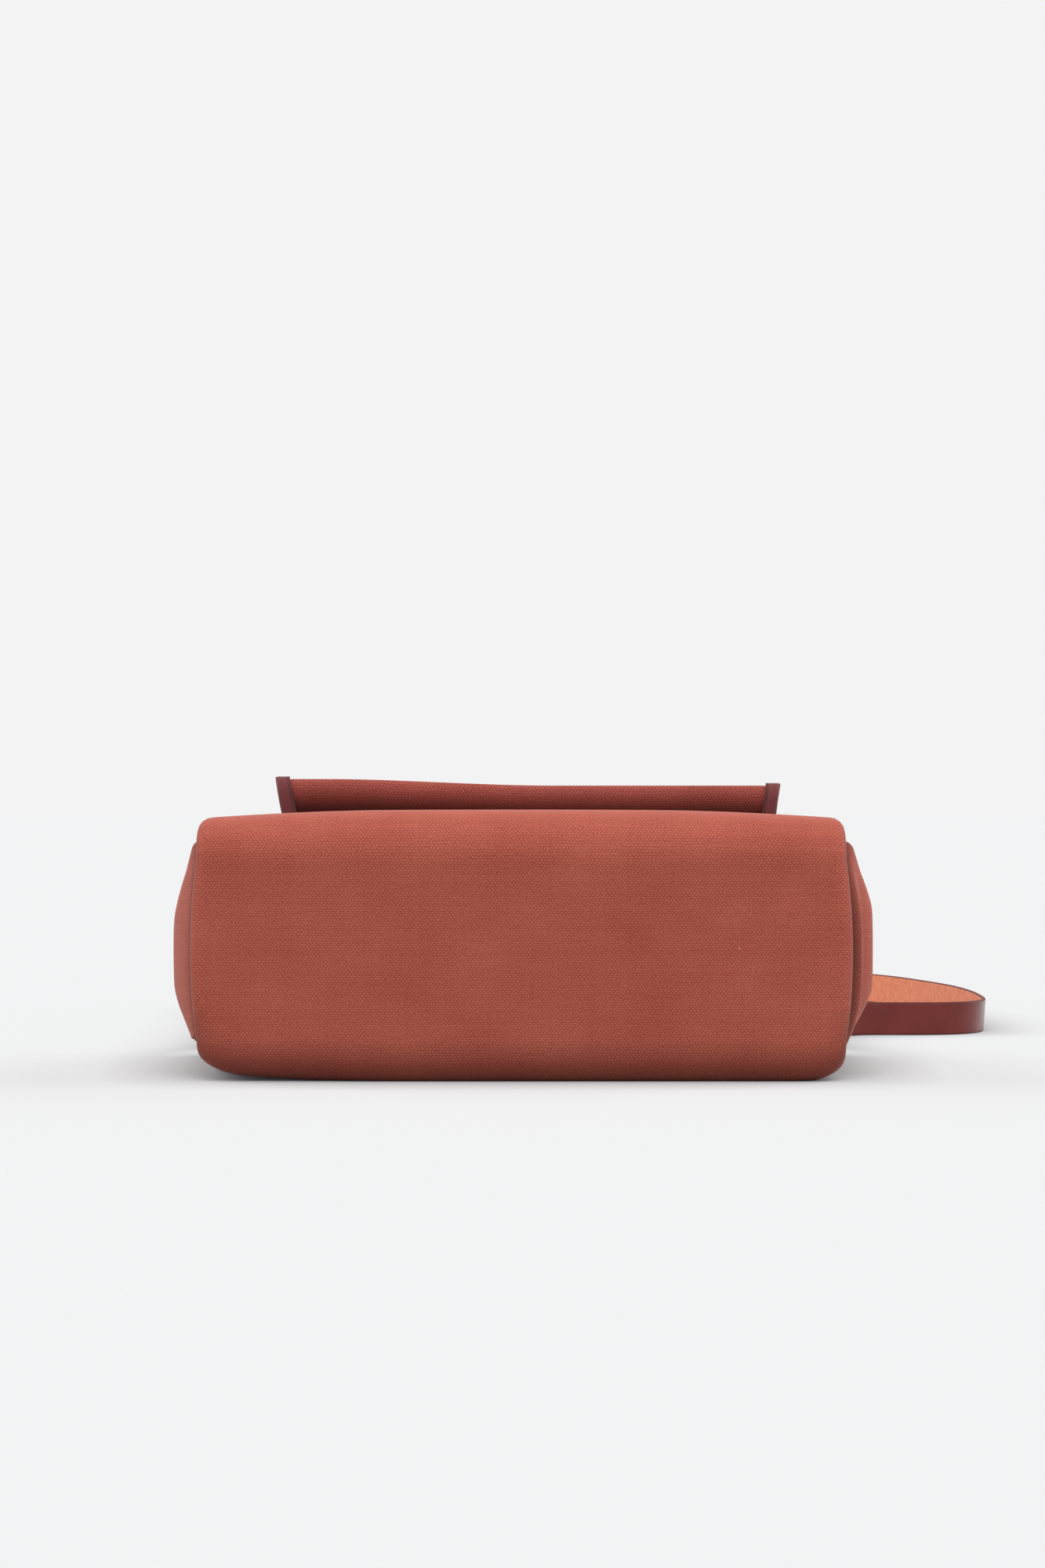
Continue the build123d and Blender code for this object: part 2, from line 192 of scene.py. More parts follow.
def canvas_material(name, crown, hollow):
    """Plain weave: sine across times sine along, so that weft and warp crowns alternate, on ridges.

    The threads wander a little, and each has a shade of its own. The tone adds height, thread,
    fuzz, washed patches and streaks along the weft. Cloth at the seams and the flap's foot, which a
    point attribute gives from 0 to 1, is painted darker: painted shade. A little pale lint clings
    to it.
    """
    shade = Shade(name, Roughness=0.88, Sheen_Weight=0.45, Sheen_Roughness=0.36,
                  Specular_IOR_Level=0.12)
    shade.surface.inputs["Sheen Tint"].default_value = dye(235, 190, 180)
    cloth, across, along = shade.cloth_uv()
    row = along / weft_pitch + (shade.noise(cloth, 0.16, 3.0) - 0.5) * 0.5
    column = across / warp_pitch + (shade.noise(cloth, 0.21, 2.0) - 0.5) * 0.6
    row_number = row.math("FLOOR")
    column_number = column.math("FLOOR")
    crossing = (row * np.pi).math("SINE") * (column * np.pi).math("SINE")
    ridge = (row * np.pi).math("SINE").math("ABSOLUTE")
    height = (crossing + 1.0) * 0.34 + ridge * 0.32
    own_shade = {"noise_dimensions": "1D"}
    thread = shade.node("ShaderNodeTexWhiteNoise", own_shade, {"W": row_number})
    slub = shade.node("ShaderNodeTexWhiteNoise", own_shade, {"W": column_number + 0.5})
    fuzz = shade.noise(cloth, 1.3, 4.0)
    streaks = shade.noise(shade.squeezed(cloth, 0.05, 0.55), 1.0, 2.0)
    patches = shade.noise(cloth, 0.03, 3.0)
    tone = height * 0.44 + thread * 0.03 + slub * 0.02 + (fuzz - 0.5) * 0.75
    tone = tone + (patches - 0.5) * 0.24 + (streaks - 0.5) * 0.08 + 0.20
    # Painted highlight and shade of the weave: the height makes crowns paler and hollows darker,
    # mixed in with the canvas's own uneven tone.
    colour = shade.mix(tone.within(-0.05, 1.0), dye(*hollow), dye(*crown))
    # Painted shade: where the point attribute is high, at the seam folds and towards the flap's
    # foot, the colour is mixed towards a near black red.
    painted_shade = shade.node("ShaderNodeAttribute", {"attribute_name": "painted_shade"}, None, 2)
    colour = shade.mix(painted_shade, colour, dye(52, 13, 10))
    lint = shade.noise(cloth, 0.45, 1.0).within(0.80, 0.83)
    colour = shade.mix(lint * 0.5, colour, dye(226, 178, 160))
    shade.feed("Base Color", colour)
    shade.bump(height + (fuzz - 0.5) * 0.5, 0.14 * MM, 0.8)
    return shade.material


canvas = canvas_material("brick_canvas", crown=(203, 112, 94), hollow=(124, 46, 37))
# Painted shade: a darker copy of the canvas for the flap's inner face, which the case and the
# flap's lean keep out of the light.
flap_canvas = canvas_material("shaded_flap_canvas", crown=(192, 102, 90), hollow=(96, 36, 31))

# ------------------------------------------------------------------ wrap panel
# One length of canvas goes down the front, round the bottom and up the back. It is sewn to the
# gussets inside out and turned, so each side rolls in to a seam groove, most of all at the corners.


def loft(name, loops, uv, materials, faces_of=None, painted_shade=None):
    """Mesh of closed loops (rows x columns x 3, in mm) carried side by side.

    Neighbouring rows and columns are joined by quads, the last column to the first. Each end is
    closed by quads between column j and its opposite, because a loop runs out and back. Points
    that fall together are merged. faces_of gives each column's material, and the last argument
    how much painted shade each point gets, from 0 to 1.
    """
    rows, columns = loops.shape[:2]
    index = np.arange(rows * columns).reshape(rows, columns)
    following = np.roll(index, -1, axis=1)
    quads = np.stack([index[:-1], following[:-1], following[1:], index[1:]], axis=-1).reshape(-1, 4)
    half = columns // 2
    near = np.arange(half - 1)
    end = np.stack([near, columns - 1 - near, columns - 2 - near, near + 1], axis=-1)
    quads = np.concatenate([quads, index[0][end], index[-1][end[:, ::-1]]])
    mesh = bpy.data.meshes.new(name)
    mesh.from_pydata((loops.reshape(-1, 3) * MM).tolist(), [], quads.tolist())
    grid = np.concatenate([uv, uv[:, :1]], axis=1)
    side = np.stack([grid[:-1, :-1], grid[:-1, 1:], grid[1:, 1:], grid[1:, :-1]], axis=2)
    ends = np.concatenate([uv[0][end], uv[-1][end[:, ::-1]]])
    layer = mesh.uv_layers.new(name="cloth")
    corners = np.concatenate([side.reshape(-1, 2), ends.reshape(-1, 2)]) * MM
    layer.data.foreach_set("uv", corners.astype(np.float32).ravel())
    for material in materials:
        mesh.materials.append(material)
    if faces_of is not None:
        band = np.tile(faces_of, rows - 1)
        rest = np.full(2 * (half - 1), faces_of.max())
        mesh.polygons.foreach_set("material_index", np.concatenate([band, rest]).astype(np.int32))
    if painted_shade is not None:
        layer = mesh.attributes.new("painted_shade", "FLOAT", "POINT")
        layer.data.foreach_set("value", painted_shade.astype(np.float32).ravel())
    mesh.polygons.foreach_set("use_smooth", np.ones(len(quads), dtype=bool))
    shape = bmesh.new()
    shape.from_mesh(mesh)
    bmesh.ops.remove_doubles(shape, verts=shape.verts, dist=1e-6)
    bmesh.ops.recalc_face_normals(shape, faces=shape.faces)
    shape.to_mesh(mesh)
    shape.free()
    piece = bpy.data.objects.new(name, mesh)
    bpy.context.scene.collection.objects.link(piece)
    return piece


def there_and_back(grid):
    """Columns that go out over one face of a sheet and back over the other."""
    return np.concatenate([grid, grid[:, ::-1]], axis=1)


def two_faced(outer, thickness):
    """Loops over a sheet's outer face and back over its inner one, thickness below it."""
    down = np.gradient(outer, axis=0)
    along = np.gradient(outer, axis=1)
    normal = np.cross(down, along)
    normal /= np.linalg.norm(normal, axis=-1, keepdims=True)
    inner = outer - normal * thickness
    return np.concatenate([outer, inner[:, ::-1]], axis=1)


joints = {joint["name"]: joint for joint in frame["record"]["behaviour"]["joints"]}
pivot = np.array(joints["strap_swing"]["pos_m"]) / MM
case_height = case_high[1] - case_low[1]
case_depth = case_high[2]
mouth_depth = 45.0
corner_radius = 17.0
canvas_gauge = 1.7
roll_points = 60
seam_half = case_high[0]
toe_y = case_low[1] + corner_radius
toe_z = case_depth - corner_radius
toe_reach = np.hypot(case_high[1] - toe_y, toe_z - mouth_depth)
slope = np.arctan2(toe_z - mouth_depth, case_high[1] - toe_y) + np.arcsin(corner_radius / toe_reach)


def smooth(t):
    """0 below 0, 1 above 1, and an S curve between."""
    t = np.clip(t, 0, 1)
    return t * t * (3 - 2 * t)


def case_section():
    """The case seen from its side, from the front lip round the bottom end to the back lip.

    A line down the front, a quarter roll, a line down the bottom face, a quarter roll, and a line
    along the back. Gives length along it, place, outward normal and the lengths where each begins.
    """
    toe = np.linspace(np.pi / 2 - slope, np.pi, roll_points)
    heel = np.linspace(np.pi, 1.5 * np.pi, roll_points)
    rolls = []
    for angle, centre_z in ((toe, toe_z), (heel, corner_radius)):
        out = np.stack([np.cos(angle), np.sin(angle)], axis=-1)
        rolls.append((np.array([toe_y, centre_z]) + corner_radius * out, out))
    lip = np.array([[case_high[1], mouth_depth]])
    back = np.array([[case_high[1], 0.0]])
    place = np.concatenate([lip, rolls[0][0], rolls[1][0], back])
    normal = np.concatenate([rolls[0][1][:1], rolls[0][1], rolls[1][1], rolls[1][1][-1:]])
    length = np.concatenate([[0], np.cumsum(np.linalg.norm(np.diff(place, axis=0), axis=1))])
    starts = [0, 1, roll_points, roll_points + 1, 2 * roll_points, 2 * roll_points + 1]
    return length, place, normal, length[starts]


section_length, section_place, section_normal, bends = case_section()
front_lip, toe_start, toe_end, heel_start, heel_end, back_lip = bends
face_middle = (toe_end + heel_start) / 2


def on_section(s):
    """Place and outward normal at lengths s along the case's section."""
    place = [np.interp(s, section_length, section_place[:, k]) for k in (0, 1)]
    normal = [np.interp(s, section_length, section_normal[:, k]) for k in (0, 1)]
    return np.stack(place, axis=-1), np.stack(normal, axis=-1)


def seam_drop(s):
    """The roll to the seam at lengths s: its drop, its width, its slack and how far it turns.

    Each runs straight between values at the bends and a little to either side of them.
    """
    stops = [front_lip, toe_start, toe_end, toe_end + 14, heel_start - 14, heel_start, heel_end,
             heel_end + 30, heel_end + 70]
    drop = np.interp(s, stops, [5.0, 6.4, 6.4, 7.0, 7.0, 9.5, 12.5, 10.0, 4.0])
    width = np.interp(s, stops, [6.0, 4.6, 4.6, 4.2, 4.2, 12.0, 22.0, 22.0, 10.0])
    slack = np.interp(s, stops, [0.0, 0.0, 0.0, 0.0, 0.0, 0.5, 0.9, 0.9, 0.5])
    tuck = np.interp(s, stops, [128.0, 128.0, 128.0, 128.0, 128.0, 112.0, 98.0, 98.0, 110.0])
    return drop, width, slack, np.radians(tuck)


def on_wrap(x, s):
    """The wrap panel's outer face at x across and s along the canvas, in mm.

    Near the seam it turns through an elliptical arc of more than a right angle, so that it tucks
    under itself there. Between the bends it stands a little proud, crowned across its width and
    rippled. It rises towards the left heel corner and sinks towards both toe corners, each as a
    power of the distance across, and the gathered corners pull it narrower.
    """
    place, normal = on_section(s)
    drop, width, slack, tuck = seam_drop(s)
    q = np.clip((np.abs(x) - (seam_half - width)) / width, 0, 1)
    turned = q * tuck
    across = np.where(q > 0, np.sign(x) * (seam_half - width + width * np.sin(turned)), x)
    roll = drop * ((1 - slack) * (1 - np.cos(turned)) / (1 - np.cos(tuck)) + slack * q ** 1.7)
    proud = np.interp(s, [0, toe_start * 0.6, toe_start, toe_end, heel_start, heel_end],
                      [0, 0, 1.5, 1.3, 0.6, 0.0])
    crown = 1 - (x / seam_half) ** 2
    swell = np.sin(np.pi * np.clip((s - toe_start) / (heel_end - toe_start), 0, 1))
    ripple = 0.35 * np.sin(x / 31.0 + 0.7) * np.sin(s / 27.0 + x / 90.0) * swell
    near_heel = np.interp(s, [toe_end, heel_start, heel_end, heel_end + 80], [0, 0.5, 1, 0])
    lifted = 4.8 * np.clip((-x - 54.0) / 82.0, 0, 1) ** 1.5 * near_heel
    near_toe = np.interp(s, [front_lip, toe_start, toe_end, heel_start], [0.3, 1, 1, 0])
    sunk = 2.2 * np.clip((np.abs(x) - 60.0) / 76.0, 0, 1) ** 1.6 * near_toe
    out = proud * (1 + 0.8 * crown) + 0.8 * swell * crown + ripple - roll - lifted - sunk
    ends = np.clip(np.abs(s - face_middle) / (face_middle - toe_end), 0, 1) ** 2
    pull = np.where(x > 0, 0.007 + 0.019 * ends, 0.018 * ends) * np.abs(x) / seam_half
    pulled = across * (1 - pull)
    spot = place + normal * out[..., None]
    spot[..., 1] = np.maximum(spot[..., 1], 0.0)
    return np.stack([pulled, spot[..., 0], spot[..., 1]], axis=-1)


seam_band = 22.0
seam_steps = 1 - np.cos(np.linspace(0, np.pi / 2, 22))
x_steps = np.concatenate([
    -seam_half + seam_band * seam_steps[:-1],
    np.linspace(-seam_half + seam_band, seam_half - seam_band, 84),
    (seam_half - seam_band * seam_steps[:-1])[::-1],
])
s_steps = np.concatenate([
    *(np.linspace(bends[k], bends[k + 1], count)[:-1] for k, count in enumerate((50, 34, 40, 34))),
    np.linspace(heel_end, back_lip, 50),
])
grid_x, grid_s = np.meshgrid(x_steps, s_steps, indexing="ij")
wrap_outer = on_wrap(grid_x, grid_s)
stride = np.diff(wrap_outer, axis=0, prepend=wrap_outer[:1])
unrolled = np.cumsum(np.linalg.norm(stride, axis=-1), axis=0)
wrap_uv = np.stack([unrolled - unrolled[len(x_steps) // 2], grid_s], axis=-1)
roll_width = seam_drop(grid_s)[1]
# Painted shade along the rolled seam edges, darker towards the seam groove.
wrap_painted_shade = 0.8 * smooth(((np.abs(grid_x) - seam_half) / roll_width + 0.62) / 0.5)
wrap = loft(
    "canvas_wrap",
    two_faced(wrap_outer, canvas_gauge),
    there_and_back(wrap_uv),
    [canvas],
    painted_shade=there_and_back(wrap_painted_shade),
)
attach(wrap, "case")
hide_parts("body_panel")

# ------------------------------------------------------------------ gussets
# A side panel cut larger than the opening it closes, so that it swells out past its seams. The
# right one keeps a soft upright fold where the case was squeezed.
toe_half = (toe_start + toe_end) / 2
heel_half = (heel_start + heel_end) / 2
gusset_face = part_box("gusset_right")[1][0] / MM
strap_clear = gusset_face + 2.6
strap_margin = 1.5
softness = 0.07
bottom_lap = 8.0


def seam_line(s, side):
    """Points at lengths s on the seam, where wrap and gusset meet."""
    return on_wrap(np.full_like(s, side * seam_half), s)


def gusset_skin(side, reach, fold, foot, rows=90, columns=110):
    """The gusset's outer face.

    Its outline is the seam on three sides and the mouth on the fourth. Straight blends between
    opposite sides fill it in. It swells with the distance from the nearest sewn side as a share of
    half the depth there, taken as a soft minimum, steeply at first and then less. The swelling
    starts foot above the table. An upright fold runs up it near the bottom end, a bell curve with
    a shallower hollow behind. Under the strap's patch it lies flat, and it stops short of
    strap_clear, where the strap turns past it and presses it in.
    """
    u = np.linspace(0, 1, rows)
    v = np.linspace(0, 1, columns)
    bottom_end = seam_line(heel_half + (toe_half - heel_half) * u, side)
    top_side = seam_line(toe_half * (1 - v), side)
    low_side = seam_line(heel_half + (back_lip - heel_half) * v, side)
    mouth_end = low_side[-1] + (top_side[-1] - low_side[-1]) * u[:, None]
    U = u[:, None, None]
    V = v[None, :, None]
    skin = (1 - V) * bottom_end[:, None] + V * mouth_end[:, None]
    skin = skin + (1 - U) * low_side[None] + U * top_side[None]
    corners = [bottom_end[0], bottom_end[-1], mouth_end[0], mouth_end[-1]]
    skin = skin - (1 - V) * ((1 - U) * corners[0] + U * corners[1])
    skin = skin - V * ((1 - U) * corners[2] + U * corners[3])
    y = skin[..., 1]
    z = skin[..., 2]
    front_z = mouth_depth + (case_high[1] - y) * np.tan(slope)
    half_depth = np.minimum(front_z, case_depth) / 2
    off_bottom = np.clip(y - case_low[1] - bottom_lap, 0, None)
    ways_in = (
        off_bottom / 38.0,
        np.clip(z - foot, 0, None) / (0.73 * half_depth),
        np.clip((front_z - z) * np.cos(slope) + 4.0, 0, None) / (0.80 * half_depth),
    )
    crowding = sum(np.exp(-way / softness) for way in ways_in)
    inside = np.clip(-softness * np.log(crowding) / (1 - softness), 0, 1)
    out = reach * (1 - (1 - inside) ** 1.4)
    off_pivot = np.hypot(y - pivot[1], z - pivot[2])
    flat = 1 - smooth((off_pivot - 10.0) / 9.0)
    out = out * (1 - flat) + (gusset_face - np.abs(skin[..., 0])) * flat
    height = np.exp(-(((z - 52.0) / 30.0) ** 4))
    out = out + fold * height * np.exp(-(((off_bottom - 8.5) / 3.4) ** 2))
    out = out - 0.4 * fold * height * np.exp(-(((off_bottom - 15.0) / 5.0) ** 2))
    out = out + 0.5 * np.sin(y / 19.0) * np.sin(z / 17.0) * np.clip(inside * 2, 0, 1) * (1 - flat)
    row = np.arange(rows)
    rim = np.minimum(np.minimum(row, row[::-1])[:, None], np.arange(columns)[None])
    skin[..., 0] += side * out * smooth(rim / 5.0)
    over = np.clip(np.abs(skin[..., 0]) - (strap_clear - strap_margin), 0, None)
    skin[..., 0] -= side * (over - strap_margin * np.tanh(over / strap_margin))
    uv = np.stack([y + case_height, z], axis=-1)
    # Painted shade along the seam at the bottom end and along the front seam.
    folded = 0.9 * (1 - smooth((y - case_low[1] - 9.0) / 11.0))
    folded = np.maximum(folded, 0.5 * (1 - smooth((front_z - z - 9.0) / 9.0)))
    return skin, uv, folded


for side, word, reach, fold, foot in (
    (-1, "left", 13.8, 0.0, 5.0),
    (1, "right", 16.6, 2.6, 9.0),
):
    skin, uv, folded = gusset_skin(side, reach, fold, foot)
    if side > 0:
        skin, uv, folded = skin[::-1], uv[::-1], folded[::-1]
    gusset = loft(
        f"canvas_gusset_{word}",
        two_faced(skin, canvas_gauge),
        there_and_back(uv),
        [canvas],
        painted_shade=there_and_back(folded),
    )
    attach(gusset, "case")
    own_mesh(gusset)
    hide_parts(f"gusset_{word}")

# ------------------------------------------------------------------ twill tape
# Cotton twill tape, darker than the canvas. It is folded over every raw edge: over the seam
# allowances inside the case, the sleeve's mouth and both sides of the flap.


def tape_material(name, crown, hollow, smooth_until=0.0):
    """Twill: fine diagonal ribs broken by the weft, smoother up to smooth_until across the tape."""
    shade = Shade(name, Roughness=0.8, Sheen_Weight=0.25, Sheen_Roughness=0.5,
                  Specular_IOR_Level=0.3)
    cloth, across, along = shade.cloth_uv()
    ripple = shade.noise(cloth, 1.1, 3.0)
    rib = ((across * 0.9 + along) / 0.85 + (ripple - 0.5) * 0.5).math("FRACT")
    rib = (1.0 - (rib - 0.5).math("ABSOLUTE") * 2.0).within(0.1, 0.9)
    rung = ((along / 0.5).math("FRACT") - 0.5).math("ABSOLUTE") * 2.0
    height = rib * 0.75 + rung * 0.25
    height = height * (across.within(smooth_until - 0.2, smooth_until + 0.2) * 0.85 + 0.15)
    fuzz = shade.noise(cloth, 2.6, 4.0)
    # Painted highlight and shade of the twill: the rib height makes the ribs' tops paler and the
    # hollows darker, mixed in with the tape's own uneven tone.
    tone = height * 0.6 + (fuzz - 0.5) * 0.9 + 0.15
    shade.feed("Base Color", shade.mix(tone.within(0.0, 1.0), dye(*hollow), dye(*crown)))
    shade.bump(height + (fuzz - 0.5) * 0.4, 0.22 * MM, 0.9)
    return shade.material


tape = tape_material("dark_twill", crown=(150, 76, 78), hollow=(84, 34, 36))
tape_fold = 8.0
tape_half = 1.2


def folded_tape(reach, half, core, points=9):
    """A tape folded over an edge, seen end on: a U whose closed end is at reach, half thick a side.

    Gives places across and through for its outer face, then its inner face coming back at core
    times the outer one's height.
    """
    turn = np.linspace(np.pi / 2, -np.pi / 2, points)
    arm = reach * np.array([0.0, 0.35, 0.7])
    outer_x = np.concatenate([arm, reach - half + half * np.cos(turn), arm[::-1]])
    outer_n = np.concatenate([np.full(3, half), half * np.sin(turn), np.full(3, -half)])
    inner_x = np.minimum(outer_x, reach - half)
    inner_n = outer_n * core
    return np.concatenate([outer_x, inner_x[::-1]]), np.concatenate([outer_n, inner_n[::-1]])


tape_s = np.linspace(front_lip, back_lip, 260)
_, tape_normal = on_section(tape_s)
tape_gap = canvas_gauge + 0.4
tape_x, tape_n = folded_tape(tape_fold, tape_half, 0.4)
for side, word in ((-1, "left"), (1, "right")):
    wave = 0.25 * np.sin(tape_s / 9.0 + side)[:, None]
    seam = seam_line(tape_s, side)
    inward = tape_gap + tape_x[None] + wave
    yz = seam[:, None, 1:] - tape_normal[:, None] * inward[..., None]
    x = seam[:, :1] - side * (tape_half + tape_gap + tape_n[None])
    loops = np.concatenate([x[..., None], yz], axis=-1)
    uv = np.stack(np.broadcast_arrays(tape_x[None], tape_s[:, None]), axis=-1)
    seam_tape = loft(f"seam_tape_cloth_{word}", loops, uv, [tape])
    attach(seam_tape, "case")
    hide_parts(f"seam_tape_{word}")

# ------------------------------------------------------------------ mouth facing and brush sleeve
# The front lip is turned in and stitched down. On the back panel lies a flat sleeve of the same
# canvas, stitched into slots, with tape over its mouth.


def stitched(width, depth, gauge, slots=0, slot_sink=0.0):
    """A flat strip in its own plane, whose top puffs up between rows of stitching.

    The top is a power of a sine across the slots, and falls off exponentially towards the hem.
    """
    x = np.linspace(-width / 2, width / 2, 241)
    y = np.linspace(0, depth, 60)
    X, Y = np.meshgrid(x, y, indexing="ij")
    puff = np.abs(np.sin(np.pi * (X / width + 0.5) * slots)) ** 0.45 if slots else np.ones_like(X)
    edge = np.minimum(np.minimum(Y, depth - Y), width / 2 - np.abs(X))
    hem = 1 - np.exp(-np.clip(edge, 0, None) / 0.8)
    top = gauge * (0.45 + 0.55 * hem) - slot_sink * (1 - puff)
    outer = np.stack([X, Y, top], axis=-1)
    inner = np.stack([X, Y, np.zeros_like(X)], axis=-1)
    uv = np.stack([X, Y], axis=-1)
    return np.concatenate([outer, inner[:, ::-1]], axis=1), there_and_back(uv)


def placed(loops, origin, up, forward):
    """Loops worked out in a plane, moved to that plane: x stays, y runs forward, z runs up."""
    return (
        np.array(origin)
        + loops[..., :1] * np.array([1.0, 0.0, 0.0])
        + loops[..., 1:2] * np.array(forward)
        + loops[..., 2:] * np.array(up)
    )


sleeve_low, sleeve_high = (np.array(corner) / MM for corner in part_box("brush_sleeve"))
sleeve_loops, sleeve_uv = stitched(
    sleeve_high[0] - sleeve_low[0], sleeve_high[1] - sleeve_low[1], 2.0, slots=10, slot_sink=1.3)
sleeve = loft(
    "sleeve_cloth",
    placed(sleeve_loops, (0, sleeve_low[1], sleeve_low[2]), (0, 0, 1), (0, 1, 0)),
    sleeve_uv,
    [canvas],
)
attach(sleeve, "case")
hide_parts("brush_sleeve")

bind_low, bind_high = (np.array(corner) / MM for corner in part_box("sleeve_tape"))
bind_loops, bind_uv = stitched(bind_high[0] - bind_low[0], bind_high[1] - bind_low[1], 2.6)
sleeve_binding = loft(
    "sleeve_tape_cloth",
    placed(bind_loops, (0, bind_low[1], bind_low[2]), (0, 0, 1), (0, 1, 0)),
    bind_uv[..., ::-1],
    [tape],
)
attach(sleeve_binding, "case")
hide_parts("sleeve_tape")

facing_width = 25.0
front_back = (0.0, -np.cos(slope), np.sin(slope))
front_down = (0.0, -np.sin(slope), -np.cos(slope))
facing_loops, facing_uv = stitched(2 * (seam_half - 3.0), facing_width, 1.4)
facing_start = np.array([0.0, case_high[1], mouth_depth]) + np.array(front_down) * canvas_gauge
facing = loft(
    "mouth_facing_cloth",
    placed(facing_loops, facing_start, front_down, front_back),
    facing_uv,
    [canvas],
)
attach(facing, "case")
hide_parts("mouth_facing")

# ------------------------------------------------------------------ flap
# Doubled canvas, turned so that its fold is the free edge. It leans back over the mouth, bends
# at the lip and comes forward again. The left corner stands a little higher than the right.
spine_axis = np.array(joints["flap_spine_crease"]["pos_m"]) / MM
crease_axis = np.array(joints["flap_cover_crease"]["pos_m"]) / MM
spine_length = np.linalg.norm((crease_axis - spine_axis)[1:])
cover_reach = 74.0
lean_back = np.degrees(np.arctan2(crease_axis[1] - spine_axis[1], crease_axis[2] - spine_axis[2]))
flap_middle = 3.0
flap_half = 98.0
flare_run = 76.0
fold_run = 2.6
flap_length = spine_length + cover_reach


def flap_line(w):
    """The flap's middle layer in Y and Z at lengths w from its lower crease, and its inward normal.

    It leans back over the mouth, forward from the lip on, and curls back at the free edge. The
    lean, in degrees from upright, is evened out over a short run and summed up along w.
    """
    fine = np.linspace(0, flap_length + 6, 900)
    past_lip = [-60.0, -9.0, 3.0, 12.0, 38.0, 48.0, 56.0, 62.0, 66.0, 69.0, 72.4]
    leans = [lean_back, lean_back, -7.0, -9.5, -9.5, -11.0, -14.0, -14.0, -8.0, 0.0, 34.0]
    lean = np.pad(np.interp(fine, spine_length + np.array(past_lip), leans), 15, mode="edge")
    lean = np.radians(np.convolve(lean, np.ones(31) / 31, mode="valid"))
    step = fine[1]
    y = spine_axis[1] + np.concatenate([[0], np.cumsum(np.sin(lean[:-1]) * step)])
    z = spine_axis[2] + np.concatenate([[0], np.cumsum(np.cos(lean[:-1]) * step)])
    place = np.stack([np.interp(w, fine, y), np.interp(w, fine, z)], axis=-1)
    leaning = np.interp(w, fine, lean)
    return place, np.stack([-np.cos(leaning), np.sin(leaning)], axis=-1)


def flap_side(w, side):
    """Half width of the canvas: straight, then flaring to the free edge as a power of w."""
    flare, power = (11.2, 1.5) if side < 0 else (10.0, 1.05)
    return flap_half + flare * np.clip((w - flap_length + flare_run) / flare_run, 0, 1) ** power


def flap_rise(x, w):
    """How much the left of the free edge stands up: an S curve across times a line along."""
    along = np.clip((w - spine_length - 10) / (cover_reach - 10), 0, 1)
    return 3.0 * smooth((12.0 - x) / 105.0) * along


def on_flap(x, w, through):
    """A point of the flap: x across from the flap's middle, w along and through its thickness."""
    place, normal = flap_line(w)
    y = place[..., 0] + normal[..., 0] * through
    z = place[..., 1] + normal[..., 1] * through + flap_rise(x, w)
    return np.stack([x + flap_middle, y, z], axis=-1)


# The two layers lie half_gauge either side of the middle one. They meet at the fold along an
# ellipse, thin out under the bindings and bow back in the middle.
fold_steps = flap_length - fold_run * (1 - np.sin(np.linspace(0, np.pi / 2, 10)))
w_steps = np.concatenate([np.linspace(0, flap_length - fold_run, 110)[:-1], fold_steps])
side_steps = 1 - 0.05 * seam_steps[:-1]
u_steps = np.concatenate([-side_steps, np.linspace(-0.95, 0.95, 96), side_steps[::-1]])
U, W = np.meshgrid(u_steps, w_steps, indexing="ij")
flap_x = np.where(U < 0, U * flap_side(W, -1), U * flap_side(W, 1))
half_gauge = np.interp(W, [0, spine_length, spine_length + 15], [1.1, 1.1, 1.4])
to_fold = np.clip((W - (flap_length - fold_run)) / fold_run, 0, 1)
half_gauge = half_gauge * np.sqrt(1 - to_fold ** 2)
to_side = np.clip((np.abs(U) - 0.972) / 0.028, 0, 1)
half_gauge = half_gauge * (1 - 0.55 * to_side ** 2)
bow = -0.9 * np.sin(np.pi * (U + 1) / 2) * np.sin(np.pi * W / flap_length)
flap_loops = np.concatenate([
    on_flap(flap_x, W, half_gauge + bow),
    on_flap(flap_x, W, bow - half_gauge)[:, ::-1],
], axis=1)
flap_uv = np.stack([flap_x, W], axis=-1)
# Painted shade: the flap's inner face darkens from the free edge down towards its foot. The other
# face gets none.
flap_painted_shade = 0.95 * smooth((flap_length - 1.5 - W) / 13.0)
flap = loft(
    "flap_cloth",
    flap_loops,
    np.concatenate([flap_uv, -flap_uv[:, ::-1]], axis=1),
    [flap_canvas, canvas],
    faces_of=np.repeat([0, 1], len(w_steps)),
    painted_shade=np.concatenate([flap_painted_shade, np.zeros_like(flap_painted_shade)], axis=1),
)
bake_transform(flap)
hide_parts("flap_spine", "flap_cover")

